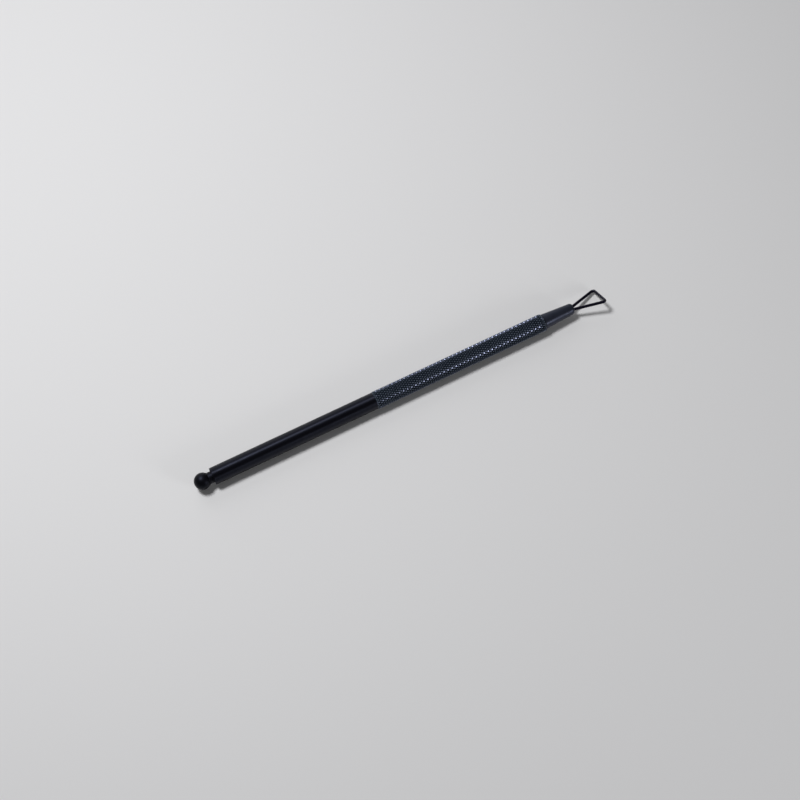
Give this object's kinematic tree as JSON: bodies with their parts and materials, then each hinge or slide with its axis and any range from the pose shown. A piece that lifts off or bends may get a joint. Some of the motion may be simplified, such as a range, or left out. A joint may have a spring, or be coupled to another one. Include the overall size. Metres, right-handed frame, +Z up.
{
  "type": "nail gel scraper",
  "caption": "Slim black metal nail tool with a diamond-knurled grip, a small ball at the rear and a triangular wire scraping loop at the front.",
  "frame": {"origin": "middle of the tool's length, straight below its axis, on the surface that it lies on", "axes": "+X along the tool's axis towards the scraping loop, +Z up from the surface that it lies on, +Y to the left of someone who looks along +X"},
  "size_m": [0.12, 0.0064, 0.0049],
  "materials": {
    "bar_coating": "satin black",
    "ball_coating": "glossy black",
    "nose_coating": "satin black",
    "wire_coating": "smooth black",
    "solder_coating": "dull black"
  },
  "bodies": {
    "root": {"handle_bar": "bar_coating", "ball_end": "ball_coating", "nose_ferrule": "nose_coating", "scraper_loop": "wire_coating", "solder_fill": "solder_coating"}
  },
  "joints": []
}
